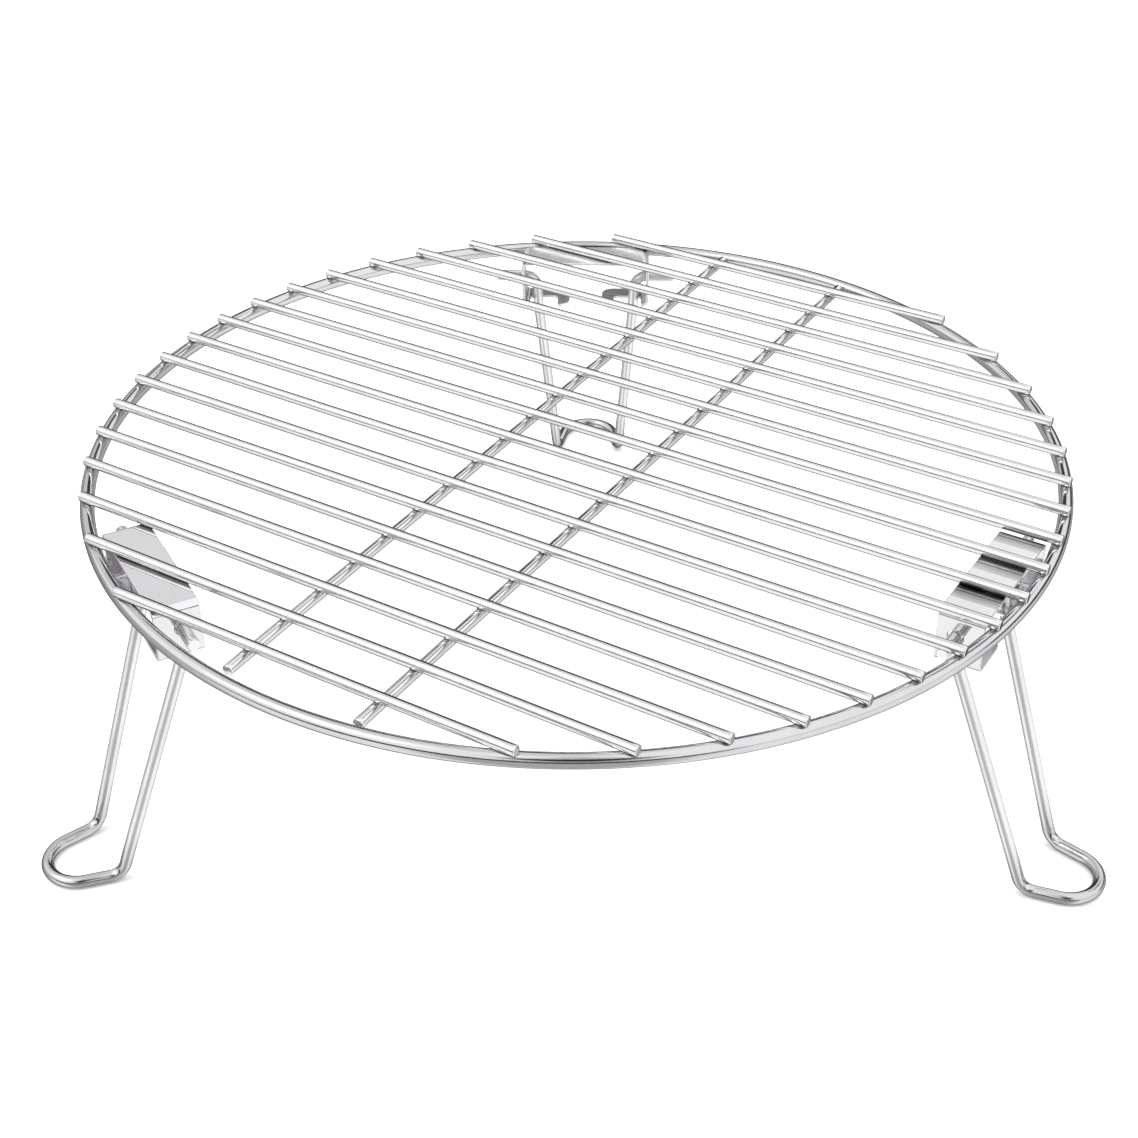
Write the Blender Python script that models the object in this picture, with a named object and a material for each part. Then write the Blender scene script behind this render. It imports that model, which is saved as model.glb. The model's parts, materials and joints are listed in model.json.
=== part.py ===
"""Folding camp grill: a round wire grate on three wire legs that fold in under it.

Metres, +Z up. The floor is z = 0 and the origin is the centre of the footprint's box. The grid bars
run along X. Each leg hangs in a C-shaped sheet bracket and turns about its two outward stubs.
"""

import math

import bmesh
import bpy
from mathutils import Matrix, Vector

# --- Driving dimensions ---------------------------------------------------------------------------
GAP = 0.0003                # clearance kept between pieces that touch or are welded
HOOP_RADIUS = 0.175         # hoop's centreline
HOOP_WIRE = 0.0026          # radii of the wires
GRID_WIRE = 0.0019
CROSS_WIRE = 0.0019
LEG_WIRE = 0.0022
WIRE_SIDES = 12
HOOP_STEPS = 96

GRID_BARS = 18
GRID_PITCH = 0.01863
GRID_END_RADIUS = 0.1763    # the bars stop on this circle, on top of the hoop
WIRE_END_BEVEL = 0.0003

CROSS_BARS = (("left", -0.0254, 1.1), ("right", 0.0272, 0.35))   # name, X at mid length, skew in degrees
CROSS_END_GAP = 0.0006      # from a cross bar's end to the inside of the hoop

STATIONS = (("right", 0.0), ("back", 120.0), ("left", 240.0))   # name, degrees round the hoop

SHEET = 0.0012              # bracket's sheet
BRACKET_INNER = 0.1530      # distances from the hoop's axis
BRACKET_OUTER = 0.1691
BRACKET_HALF_LENGTH = 0.0275
BRACKET_DEPTH = 0.0207      # top face to underside
BEND_RADIUS = 0.0032        # outside of the sheet's bends
BEND_STEPS = 4
LIP_TIP = 0.0070            # half the gap between the two lips
LIP_CORNER = 0.0050
NOTCH_INSIDE = 0.0123       # the notch that a leg wire drops into, measured along the hinge
NOTCH_OUTSIDE = 0.0242
NOTCH_END = 0.1616          # closed end, on which the leg rests, from the hoop's axis
HOLE_RADIUS = 0.0028
HOLE_SIDES = 24

HINGE_RADIUS = 0.1597       # hinge axis, from the hoop's axis
HINGE_DROP = 0.0064         # and below the hoop's centreline
STUB_TIP = 0.0384           # half the length from stub end to stub end
ELBOW_HALF_WIDTH = 0.0213
ELBOW_RADIUS = 0.0055
KNEE_RADIUS_AT = 0.1588     # where the leg leaves the bracket and splays
KNEE_DROP = 0.0205
KNEE_HALF_WIDTH = 0.0207
KNEE_BEND = 0.020
ANKLE_RADIUS_AT = 0.1908    # where the leg turns flat to the floor
ANKLE_HALF_WIDTH = 0.0146
ANKLE_BEND = 0.0070
LEG_DROP = 0.1114           # hoop's centreline to the foot's centreline
FOOT_REACH = 0.2134         # outermost point of the foot's centreline
FOOT_RADIUS = 0.0122
BEND_ANGLE_STEP = math.radians(13)

STAINLESS = (0.72, 0.71, 0.70, 1.0)
POLISHED = (0.78, 0.77, 0.78, 1.0)

# --- Levels that follow from them -----------------------------------------------------------------
FLAT = math.cos(math.pi / WIRE_SIDES)      # a faceted wire's flats lie this much closer than its corners
HOOP_HEIGHT = LEG_DROP + LEG_WIRE * FLAT   # hoop's centreline above the floor
WELD_LEVEL = HOOP_WIRE * FLAT              # tops of hoop, cross bars and brackets, from the centreline
GRID_LEVEL = WELD_LEVEL + GAP + GRID_WIRE * FLAT
CROSS_LEVEL = WELD_LEVEL - CROSS_WIRE * FLAT
FOOT_OUTSIDE = FOOT_REACH + LEG_WIRE * FLAT
HOOP_OUTSIDE = HOOP_RADIUS + HOOP_WIRE * FLAT
CENTRE_X = (HOOP_OUTSIDE - FOOT_OUTSIDE) / 2


# --- Scene helpers --------------------------------------------------------------------------------
def clear_scene():
    for old in list(bpy.data.objects):
        bpy.data.objects.remove(old, do_unlink=True)


def new_material(name, colour, roughness):
    material = bpy.data.materials.new(name)
    material.use_nodes = True
    shader = material.node_tree.nodes["Principled BSDF"]
    shader.inputs["Base Color"].default_value = colour
    shader.inputs["Roughness"].default_value = roughness
    shader.inputs["Metallic"].default_value = 1.0
    return material


def add_empty(name, parent=None):
    empty = bpy.data.objects.new(name, None)
    bpy.context.scene.collection.objects.link(empty)
    empty.parent = parent
    return empty


def add_object(name, mesh, parent, location=(0, 0, 0), turn=0.0):
    obj = bpy.data.objects.new(name, mesh)
    bpy.context.scene.collection.objects.link(obj)
    obj.parent = parent
    obj.location = location
    obj.rotation_euler.z = turn
    return obj


def mesh_from(bm, name, material, sharp_angle=math.radians(35)):
    """Turns the bmesh into a smooth-shaded mesh with its faces pointing out."""
    bmesh.ops.recalc_face_normals(bm, faces=bm.faces)
    mesh = bpy.data.meshes.new(name)
    bm.to_mesh(mesh)
    bm.free()
    mesh.materials.append(material)
    mesh.shade_smooth()
    mesh.set_sharp_from_angle(angle=sharp_angle)
    return mesh


# --- Straight wires -------------------------------------------------------------------------------
def straight_wire(name, length, radius, material):
    """A rod along X with a flat facet up and broken edges at its cut ends."""
    bm = bmesh.new()
    along_x = Matrix.Rotation(math.radians(90), 4, "Y")
    half_facet = Matrix.Rotation(math.pi / WIRE_SIDES, 4, "X")
    bmesh.ops.create_cone(
        bm, cap_ends=True, segments=WIRE_SIDES, radius1=radius, radius2=radius,
        depth=length, matrix=half_facet @ along_x)
    rims = [e for e in bm.edges if abs(e.verts[0].co.x - e.verts[1].co.x) < radius / 10]
    bmesh.ops.bevel(bm, geom=rims, offset=WIRE_END_BEVEL, segments=1, affect="EDGES")
    return mesh_from(bm, name, material)


def add_grid_bars(centre, material):
    for index in range(GRID_BARS):
        y = (index - (GRID_BARS - 1) / 2) * GRID_PITCH
        length = 2 * math.sqrt(GRID_END_RADIUS ** 2 - y ** 2)
        name = f"grid_bar_{index + 1:02d}"
        mesh = straight_wire(name, length, GRID_WIRE, material)
        add_object(name, mesh, centre, (0, y, GRID_LEVEL))


def add_cross_bars(centre, material):
    """Two bars under the grid, square to it, that end just inside the hoop."""
    hoop_inside = HOOP_RADIUS - HOOP_WIRE - CROSS_END_GAP
    for side, x, skew in CROSS_BARS:
        turn = math.radians(90 + skew)
        furthest_corner = abs(x) + CROSS_WIRE + hoop_inside * math.sin(math.radians(abs(skew)))
        length = 2 * math.sqrt(hoop_inside ** 2 - furthest_corner ** 2)
        mesh = straight_wire(f"cross_bar_{side}", length, CROSS_WIRE, material)
        add_object(f"cross_bar_{side}", mesh, centre, (x, 0, CROSS_LEVEL), turn)


# --- Hoop -----------------------------------------------------------------------------------------
def add_hoop(centre, material):
    """A round wire bent to a ring: a circle turned about the vertical axis."""
    bm = bmesh.new()
    upright = Matrix.Rotation(math.radians(90), 4, "X")
    half_facet = Matrix.Rotation(math.pi / WIRE_SIDES, 4, "Y")
    place = Matrix.Translation((HOOP_RADIUS, 0, 0)) @ half_facet @ upright
    bmesh.ops.create_circle(bm, segments=WIRE_SIDES, radius=HOOP_WIRE, matrix=place)
    bmesh.ops.spin(
        bm, geom=bm.verts[:] + bm.edges[:], cent=(0, 0, 0), axis=(0, 0, 1),
        angle=math.radians(360), steps=HOOP_STEPS, use_merge=True)
    bmesh.ops.remove_doubles(bm, verts=bm.verts, dist=0.00001)
    add_object("hoop", mesh_from(bm, "hoop", material), centre)


# --- Legs -----------------------------------------------------------------------------------------
def arc_points(centre, start, end, normal, sweep):
    """Points from start to end about centre, with neither end repeated."""
    steps = max(2, math.ceil(abs(sweep) / BEND_ANGLE_STEP))
    arm = start - centre
    turned = [centre + Matrix.Rotation(sweep * i / steps, 3, normal) @ arm for i in range(steps)]
    return turned + [end]


def rounded_corner(before, corner, after, radius):
    """The arc of that radius that rounds the corner between two straight runs."""
    back = (before - corner).normalized()
    ahead = (after - corner).normalized()
    half = back.angle(ahead) / 2
    setback = radius / math.tan(half)
    start = corner + back * setback
    end = corner + ahead * setback
    centre = corner + (back + ahead).normalized() * (radius / math.sin(half))
    normal = (-back).cross(ahead).normalized()
    return arc_points(centre, start, end, normal, math.pi - 2 * half)


def half_leg_path():
    """One side of the leg from the tip of the foot to the end of the stub, about the hinge point.

    X points away from the hoop's axis, Y lies along the hinge.
    """
    foot_z = HINGE_DROP - LEG_DROP
    ankle_x = ANKLE_RADIUS_AT - HINGE_RADIUS
    toe_x = FOOT_REACH - FOOT_RADIUS - HINGE_RADIUS
    ankle = Vector((ankle_x, ANKLE_HALF_WIDTH, foot_z))
    knee = Vector((KNEE_RADIUS_AT - HINGE_RADIUS, KNEE_HALF_WIDTH, HINGE_DROP - KNEE_DROP))
    elbow = Vector((0, ELBOW_HALF_WIDTH, 0))
    stub = Vector((0, STUB_TIP, 0))

    toe_centre = Vector((toe_x, 0, foot_z))
    from_toe = ankle - toe_centre
    tangent_angle = math.atan2(from_toe.y, from_toe.x) - math.acos(FOOT_RADIUS / from_toe.length)
    toe_start = toe_centre + Vector((FOOT_RADIUS, 0, 0))
    toe_end = toe_centre + FOOT_RADIUS * Vector((math.cos(tangent_angle), math.sin(tangent_angle), 0))

    path = arc_points(toe_centre, toe_start, toe_end, Vector((0, 0, 1)), tangent_angle)
    path += rounded_corner(toe_end, ankle, knee, ANKLE_BEND)
    path += rounded_corner(ankle, knee, elbow, KNEE_BEND)
    path += rounded_corner(knee, elbow, stub, ELBOW_RADIUS)
    path += [stub]
    return path


def wire_rings(path):
    """For each point of the path, the ring of points round it. The foot's facets face up and down."""
    rings = []
    up = Vector((0, 0, 1))
    for index, point in enumerate(path):
        before = path[max(index - 1, 0)]
        after = path[min(index + 1, len(path) - 1)]
        if index == 0:
            direction = Vector((0, 1, 0))
        else:
            direction = ((after - point).normalized() + (point - before).normalized()).normalized()
        up = (up - up.dot(direction) * direction).normalized()
        side = direction.cross(up)
        angles = [2 * math.pi * (k + 0.5) / WIRE_SIDES for k in range(WIRE_SIDES)]
        rings.append([point + LEG_WIRE * (math.cos(a) * up + math.sin(a) * side) for a in angles])
    return rings


def leg_mesh(material):
    """One bent wire: the half from toe to stub, and its mirror image about the middle of the foot."""
    half = wire_rings(half_leg_path())
    mirrored = [[Vector((p.x, -p.y, p.z)) for p in ring] for ring in half[:0:-1]]
    bm = bmesh.new()
    rings = [[bm.verts.new(p) for p in ring] for ring in mirrored + half]
    for ring, following in zip(rings, rings[1:]):
        for k in range(WIRE_SIDES):
            after = (k + 1) % WIRE_SIDES
            bm.faces.new((ring[k], ring[after], following[after], following[k]))
    ends = [bm.faces.new(rings[0]), bm.faces.new(rings[-1])]
    rims = [edge for face in ends for edge in face.edges]
    bmesh.ops.bevel(bm, geom=rims, offset=WIRE_END_BEVEL, segments=1, affect="EDGES")
    return mesh_from(bm, "leg", material)


# --- Brackets -------------------------------------------------------------------------------------
def channel_outline():
    """The C-shaped section of the bracket in the YZ plane, about the hinge point."""
    top = WELD_LEVEL + HINGE_DROP
    bottom = top - BRACKET_DEPTH
    inner_bend = BEND_RADIUS - SHEET

    def bend(radius, z, first, last):
        middle = Vector((BRACKET_HALF_LENGTH - BEND_RADIUS, z))
        angles = [math.radians(first + (last - first) * i / BEND_STEPS) for i in range(BEND_STEPS + 1)]
        return [middle + radius * Vector((math.cos(a), math.sin(a))) for a in angles]

    outside = bend(BEND_RADIUS, top - BEND_RADIUS, 90, 0) + bend(BEND_RADIUS, bottom + BEND_RADIUS, 0, -90)
    tip = [Vector((LIP_TIP, bottom)), Vector((LIP_TIP, bottom + SHEET))]
    inside = bend(inner_bend, bottom + BEND_RADIUS, -90, 0) + bend(inner_bend, top - BEND_RADIUS, 0, 90)
    half = outside + tip + inside
    return half + [Vector((-p.x, p.y)) for p in reversed(half)]


def channel_mesh(material):
    """The folded sheet before its holes and notches are cut, with round corners on the lips."""
    bm = bmesh.new()
    start_x = BRACKET_INNER - HINGE_RADIUS
    face = bm.faces.new([bm.verts.new((start_x, p.x, p.y)) for p in channel_outline()])
    pushed = bmesh.ops.extrude_face_region(bm, geom=[face])
    moved = [v for v in pushed["geom"] if isinstance(v, bmesh.types.BMVert)]
    bmesh.ops.translate(bm, verts=moved, vec=(BRACKET_OUTER - BRACKET_INNER, 0, 0))
    near_tip = LIP_TIP + SHEET / 10
    corners = [
        e for e in bm.edges
        if all(abs(v.co.y) < near_tip for v in e.verts)
        and abs(e.verts[0].co.z - e.verts[1].co.z) > SHEET / 2]
    bmesh.ops.bevel(bm, geom=corners, offset=LIP_CORNER, segments=4, affect="EDGES", profile=0.5)
    return mesh_from(bm, "channel", material)


def cutter_for(target, name, mesh):
    """Adds a hidden cutter and the Boolean that takes it out of the target."""
    cutter = add_object(name, mesh, None)
    cutter.hide_render = True
    cutter.display_type = "WIRE"
    cut = target.modifiers.new(name, "BOOLEAN")
    cut.operation = "DIFFERENCE"
    cut.object = cutter
    return cutter


def hinge_hole_mesh(material):
    bm = bmesh.new()
    along_y = Matrix.Rotation(math.radians(90), 4, "X")
    bmesh.ops.create_cone(
        bm, cap_ends=True, segments=HOLE_SIDES, radius1=HOLE_RADIUS, radius2=HOLE_RADIUS,
        depth=3 * BRACKET_HALF_LENGTH, matrix=along_y)
    return mesh_from(bm, "hinge_hole", material)


def notch_mesh(side, material):
    """A block open towards the hoop's axis, with a rounded end where the leg wire comes to rest."""
    closed_x = NOTCH_END - HINGE_RADIUS
    open_x = BRACKET_INNER - HINGE_RADIUS - SHEET
    low = WELD_LEVEL + HINGE_DROP - BRACKET_DEPTH - SHEET
    size = Vector((closed_x - open_x, NOTCH_OUTSIDE - NOTCH_INSIDE, 3 * SHEET))
    middle = Vector(((closed_x + open_x) / 2, side * (NOTCH_OUTSIDE + NOTCH_INSIDE) / 2, low + size.z / 2))
    bm = bmesh.new()
    bmesh.ops.create_cube(bm, size=1.0, matrix=Matrix.Translation(middle) @ Matrix.Diagonal((*size, 1)))
    corners = [
        e for e in bm.edges
        if all(v.co.x > middle.x for v in e.verts) and abs(e.verts[0].co.z - e.verts[1].co.z) > SHEET]
    bmesh.ops.bevel(bm, geom=corners, offset=LEG_WIRE, segments=4, affect="EDGES", profile=0.5)
    return mesh_from(bm, "notch", material)


def bracket_mesh(material):
    blank = add_object("bracket_blank", channel_mesh(material), None)
    cutters = [cutter_for(blank, "hinge_hole", hinge_hole_mesh(material))]
    for side in (-1, 1):
        cutters.append(cutter_for(blank, f"notch_{side}", notch_mesh(side, material)))
    evaluated = blank.evaluated_get(bpy.context.evaluated_depsgraph_get())
    mesh = bpy.data.meshes.new_from_object(evaluated)
    mesh.name = "bracket"
    for helper in cutters + [blank]:
        bpy.data.objects.remove(helper, do_unlink=True)
    return mesh


# --- The grill ------------------------------------------------------------------------------------
def build():
    clear_scene()
    wire_steel = new_material("stainless_wire", STAINLESS, 0.25)
    leg_steel = new_material("stainless_leg_wire", STAINLESS, 0.3)
    sheet_steel = new_material("polished_stainless_sheet", POLISHED, 0.12)

    centre = add_empty("hoop_centre")
    centre.location = (CENTRE_X, 0, HOOP_HEIGHT)
    add_hoop(centre, wire_steel)
    add_grid_bars(centre, wire_steel)
    add_cross_bars(centre, wire_steel)

    bracket = bracket_mesh(sheet_steel)
    leg = leg_mesh(leg_steel)
    for side, angle in STATIONS:
        station = add_empty(f"station_{side}", centre)
        station.rotation_euler.z = math.radians(angle)
        add_object(f"bracket_{side}", bracket, station, (HINGE_RADIUS, 0, -HINGE_DROP))
        add_object(f"leg_{side}", leg, station, (HINGE_RADIUS, 0, -HINGE_DROP))


build()
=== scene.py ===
"""Folding camp grill: a smooth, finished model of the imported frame, with a plain studio round it.

Metres, +Z up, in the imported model's frame. Every CAD node is shown by a finer piece of the same size.
"""
import json
import math

import bmesh
import bpy
import numpy as np
from mathutils import Matrix, Vector, geometry, noise


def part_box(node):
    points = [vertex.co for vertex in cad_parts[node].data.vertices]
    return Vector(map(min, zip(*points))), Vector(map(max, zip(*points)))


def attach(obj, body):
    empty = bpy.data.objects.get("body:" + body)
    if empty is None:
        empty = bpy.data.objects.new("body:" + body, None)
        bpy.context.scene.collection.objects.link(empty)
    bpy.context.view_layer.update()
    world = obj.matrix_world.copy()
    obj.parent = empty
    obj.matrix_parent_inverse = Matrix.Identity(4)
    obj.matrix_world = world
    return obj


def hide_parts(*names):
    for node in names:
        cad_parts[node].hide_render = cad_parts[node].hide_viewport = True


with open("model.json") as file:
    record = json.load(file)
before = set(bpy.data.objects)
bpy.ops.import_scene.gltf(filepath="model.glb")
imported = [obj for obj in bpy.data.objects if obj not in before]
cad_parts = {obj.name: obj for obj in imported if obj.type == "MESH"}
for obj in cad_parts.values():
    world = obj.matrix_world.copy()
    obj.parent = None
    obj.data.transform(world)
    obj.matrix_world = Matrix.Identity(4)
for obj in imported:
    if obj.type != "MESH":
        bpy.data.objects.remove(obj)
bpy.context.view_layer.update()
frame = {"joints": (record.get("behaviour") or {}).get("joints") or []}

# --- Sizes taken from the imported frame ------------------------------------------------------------
FACET = math.cos(math.pi / 12)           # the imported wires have 12 sides
HOOP_LOW, HOOP_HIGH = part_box("hoop")
CENTRE = (HOOP_LOW + HOOP_HIGH) / 2
HOOP_OUTSIDE = (HOOP_HIGH.x - HOOP_LOW.x) / 2
HOOP_WIRE = (HOOP_HIGH.z - HOOP_LOW.z) / 2 / FACET
BAR_LOW, BAR_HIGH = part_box("grid_bar_09")
GRID_WIRE = (BAR_HIGH.z - BAR_LOW.z) / 2 / FACET
CROSS_LOW, CROSS_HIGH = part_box("cross_bar_left")
CROSS_WIRE = (CROSS_HIGH.z - CROSS_LOW.z) / 2 / FACET
BRACKET_LOW, BRACKET_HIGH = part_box("bracket_right")
LEG_LOW, LEG_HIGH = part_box("leg_right")
HINGES = {j["child"]: Vector(j["pos_m"]) for j in frame["joints"]}

HOOP_RADIUS = HOOP_OUTSIDE - HOOP_WIRE
HOOP_TOP = CENTRE.z + HOOP_WIRE
WELD_SINK = 0.0005                       # how far one wire is pressed into another at a weld
GRID_Z = HOOP_TOP + GRID_WIRE - WELD_SINK
CROSS_Z = GRID_Z - GRID_WIRE - CROSS_WIRE + WELD_SINK
CROSS_BARS = {"left": 1.1, "right": 0.35}    # degrees off square to the grid bars

LEG_WIRE = 0.0022
SHEET = 0.0012
BEND_RADIUS = 0.0032
LIP_TIP = 0.0070
LIP_CORNER = 0.0048
NOTCH_INSIDE = 0.0123
NOTCH_OUTSIDE = 0.0242
NOTCH_END = 0.0019                       # from the hinge axis
HOLE_RADIUS = 0.0028
SHEET_EDGE = 0.00028                     # rounding of the sheet's cut edges

ELBOW_HALF_WIDTH = 0.0213
ELBOW_RADIUS = 0.0055
KNEE = Vector((-0.0009, 0.0207, -0.0141))    # from the hinge point
KNEE_BEND = 0.020
ANKLE_OUT = 0.0311
ANKLE_HALF_WIDTH = 0.0146
ANKLE_BEND = 0.0070
FOOT_RADIUS = 0.0122

CUT_EDGE = 0.00035                       # rounding of the wires' cut ends
WIRE_SIDES = 24
HOOP_SIDES = 28
HOOP_STEPS = 600                         # rings round the hoop, close enough for the soft edge of the weld tint and its painted contact shade
CROSS_STEPS = 240
BAR_STEP = 0.003                         # from ring to ring along a grid bar
BAR_BOW = 0.00012                        # how far a grid bar strays from straight
LEG_STEP = 0.004

CROSS_BEAD = 0.00032                     # thickness of the weld beads: grid bar on cross bar,
HOOP_BEAD = 0.00034                      # grid bar on hoop,
END_BEAD = 0.00055                       # and cross bar's end on hoop

BURN_AND_SHADE_COLOUR = (0.034, 0.029, 0.025)        # near-black colour of weld burn, of the painted contact shade round the welds, of the painted bar reflections on the sheets and of the stubs' darkening
FOOT_INSET = 0.00006                     # these two keep the foot's loop inside the CAD box
FOOT_LIFT = 0.000003
POLISHED_EDGE = 0.15                     # painted dark outline: how dark the specular tint makes a polished wire at a grazing angle


# --- Materials ------------------------------------------------------------------------------------
def steel(
        name, colour, tint, roughness, line_depth, line_width, mottle, edge_tint=1.0, bar_reflection=0.0,
        metallic=1.0):
    """Stainless steel with drawing lines along the wire map, mottling, bright worn edges, weld tint, and
    painted shade: contact shade at welds, a darker foot, dark outlines and bars' reflections on sheets.
    """
    material = bpy.data.materials.new(name)
    material.use_nodes = True
    nodes, links = material.node_tree.nodes, material.node_tree.links
    shader = nodes["Principled BSDF"]
    shader.inputs["Metallic"].default_value = metallic

    def node(kind, **values):
        made = nodes.new(kind)
        for key, value in values.items():
            if hasattr(made, key):
                setattr(made, key, value)
            else:
                made.inputs[key.replace("_", " ")].default_value = value
        return made

    def math_node(operation, first, second, clamp=True):
        made = nodes.new("ShaderNodeMath")
        made.operation = operation
        made.use_clamp = clamp
        for socket, value in zip(made.inputs, (first, second)):
            if isinstance(value, float):
                socket.default_value = value
            else:
                links.new(value, socket)
        return made.outputs[0]

    def spread(source, low, high, to_low, to_high):
        made = nodes.new("ShaderNodeMapRange")
        made.clamp = True
        links.new(source, made.inputs["Value"])
        for key, value in (("From Min", low), ("From Max", high), ("To Min", to_low), ("To Max", to_high)):
            made.inputs[key].default_value = value
        return made.outputs["Result"]

    def mix(factor, first, second):
        made = nodes.new("ShaderNodeMix")
        made.data_type = "RGBA"
        links.new(factor, made.inputs["Factor"])
        for key, value in (("A", first), ("B", second)):
            socket = [s for s in made.inputs if s.name == key and s.type == "RGBA"][0]
            if isinstance(value, tuple):
                socket.default_value = (*value, 1.0)
            else:
                links.new(value, socket)
        return [s for s in made.outputs if s.type == "RGBA"][0]

    wire_map = node("ShaderNodeUVMap", uv_map="wire")
    stretch = nodes.new("ShaderNodeMapping")
    stretch.inputs["Scale"].default_value = (70.0, 1.0 / line_width, 1.0)
    links.new(wire_map.outputs["UV"], stretch.inputs["Vector"])
    lines = node("ShaderNodeTexNoise", Scale=1.0, Detail=5.0, Roughness=0.65)
    links.new(stretch.outputs["Vector"], lines.inputs["Vector"])

    place = nodes.new("ShaderNodeTexCoord")
    cloud = node("ShaderNodeTexNoise", Scale=38.0, Detail=3.0, Roughness=0.55, Distortion=0.4)
    links.new(place.outputs["Object"], cloud.inputs["Vector"])
    grain = node("ShaderNodeTexNoise", Scale=2600.0, Detail=2.0, Roughness=0.6)
    links.new(place.outputs["Object"], grain.inputs["Vector"])

    edge = node("ShaderNodeAttribute", attribute_name="edge")
    polish_and_shade = node("ShaderNodeAttribute", attribute_name="polish_and_shade")
    heat = node("ShaderNodeAttribute", attribute_name="heat")

    shade = spread(cloud.outputs["Fac"], 0.38, 0.66, 0.0, mottle)
    body = mix(shade, colour, tint)
    streak = spread(lines.outputs["Fac"], 0.52, 0.75, 0.0, 0.22)
    streaked = mix(streak, body, tuple(0.72 * c for c in colour))
    # painted shade: where polished, the foot's colour is darkened towards half
    painted_foot_shade = math_node("MULTIPLY", polish_and_shade.outputs["Fac"], 0.6)
    streaked = mix(painted_foot_shade, streaked, tuple(0.5 * c for c in colour))
    # painted shade: near the welds the colour goes to a near-black tint, partly weld burn and partly painted
    # contact shade where the wires meet
    tint_and_shade_amount = math_node("MULTIPLY", heat.outputs["Fac"], spread(cloud.outputs["Fac"], 0.30, 0.62, 0.85, 1.0))
    tinted = mix(tint_and_shade_amount, streaked, BURN_AND_SHADE_COLOUR)
    # painted reflection and shadow of the grid bars on a sheet's top face
    if bar_reflection:
        line = painted_bar_reflection(node, links, math_node, spread, place, cloud, bar_reflection)
        tinted = mix(line, tinted, BURN_AND_SHADE_COLOUR)
    worn = math_node("MULTIPLY", edge.outputs["Fac"], spread(grain.outputs["Fac"], 0.35, 0.65, 0.25, 0.8))
    links.new(mix(worn, tinted, (0.93, 0.92, 0.91)), shader.inputs["Base Color"])

    rough = spread(lines.outputs["Fac"], 0.3, 0.75, roughness * 0.7, roughness * 1.45)
    rough = math_node("ADD", rough, spread(cloud.outputs["Fac"], 0.45, 0.72, 0.0, roughness * 0.6))
    rough = math_node("ADD", rough, spread(grain.outputs["Fac"], 0.5, 0.8, 0.0, roughness * 0.5))
    rough = math_node("MULTIPLY", rough, spread(polish_and_shade.outputs["Fac"], 0.0, 1.0, 1.0, 0.22))
    rough = math_node("ADD", rough, math_node("MULTIPLY", heat.outputs["Fac"], 0.18))
    links.new(rough, shader.inputs["Roughness"])

    # painted shade: a specular tint below 1 darkens the outlines at grazing angles, most on the polished foot
    rim = mix(polish_and_shade.outputs["Fac"], (edge_tint,) * 3, (POLISHED_EDGE,) * 3)
    links.new(rim, shader.inputs["Specular Tint"])

    fine = node("ShaderNodeBump", Strength=line_depth, Distance=0.00006)
    links.new(lines.outputs["Fac"], fine.inputs["Height"])
    coarse = node("ShaderNodeBump", Strength=line_depth * 0.7, Distance=0.00008)
    links.new(grain.outputs["Fac"], coarse.inputs["Height"])
    links.new(fine.outputs["Normal"], coarse.inputs["Normal"])
    links.new(coarse.outputs["Normal"], shader.inputs["Normal"])
    return material


def painted_bar_reflection(node, links, math_node, spread, place, cloud, strength):
    """The dark band painted on a sheet's top face under each grid bar: the bar's painted reflection and
    shadow.
    """
    split = node("ShaderNodeSeparateXYZ")
    links.new(place.outputs["Object"], split.inputs["Vector"])
    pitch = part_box("grid_bar_10")[0].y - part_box("grid_bar_09")[0].y
    beyond = math_node("ADD", split.outputs["Y"], 16 * pitch, False)    # whole pitches, to keep it positive
    phase = math_node("FRACT", math_node("DIVIDE", beyond, pitch, False), 0.0)
    ahead = math_node("SUBTRACT", 0.5, phase)
    past = math_node("SUBTRACT", phase, 0.5)
    width = spread(split.outputs["X"], -0.06, 0.10, 1.0, 0.33)
    shade = spread(math_node("MULTIPLY", ahead, width), 0.05, 0.21, 1.0, 0.0)
    line = math_node("MULTIPLY", shade, spread(past, 0.05, 0.17, 1.0, 0.0))
    top = spread(split.outputs["Z"], HOOP_TOP - 0.0016, HOOP_TOP - 0.0006, 0.0, 1.0)
    uneven = spread(cloud.outputs["Fac"], 0.35, 0.6, 0.78 * strength, strength)
    return math_node("MULTIPLY", math_node("MULTIPLY", line, top), uneven)


# an edge_tint below 1 paints a wire's outline darker at grazing angles
GRATE_STEEL = steel(
    "bright_drawn_wire", (0.735, 0.735, 0.735), (0.67, 0.665, 0.66), 0.065, 0.16, 0.00025, 0.6,
    edge_tint=0.30)
HOOP_STEEL = steel(
    "bright_hoop_wire", (0.62, 0.62, 0.63), (0.55, 0.55, 0.57), 0.085, 0.16, 0.00030, 0.6, edge_tint=0.50)
LEG_STEEL = steel(
    "satin_leg_wire", (0.80, 0.798, 0.79), (0.74, 0.735, 0.73), 0.22, 0.30, 0.00022, 0.6, edge_tint=0.85)
SHEET_STEEL = steel(
    "mirror_sheet", (0.73, 0.72, 0.74), (0.67, 0.65, 0.66), 0.04, 0.05, 0.0012, 0.5, bar_reflection=1.0)
# painted light: a paler, rougher, partly non-metallic copy of the same sheet steel, for how the light falls
# on the back bracket
BACK_SHEET_LIT_COPY = steel(                # the back bracket's, which is paler in the photo
    "back_sheet_lit_copy", (0.66, 0.655, 0.66), (0.59, 0.585, 0.59), 0.20, 0.05, 0.0012, 0.5,
    bar_reflection=1.0, metallic=0.65)
# spot welds: dark weld metal, darkened further as painted contact shade where the wires meet
WELD_STEEL = steel("spot_weld", (0.16, 0.14, 0.12), (0.07, 0.06, 0.05), 0.20, 0.40, 0.0004, 1.0)


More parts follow.
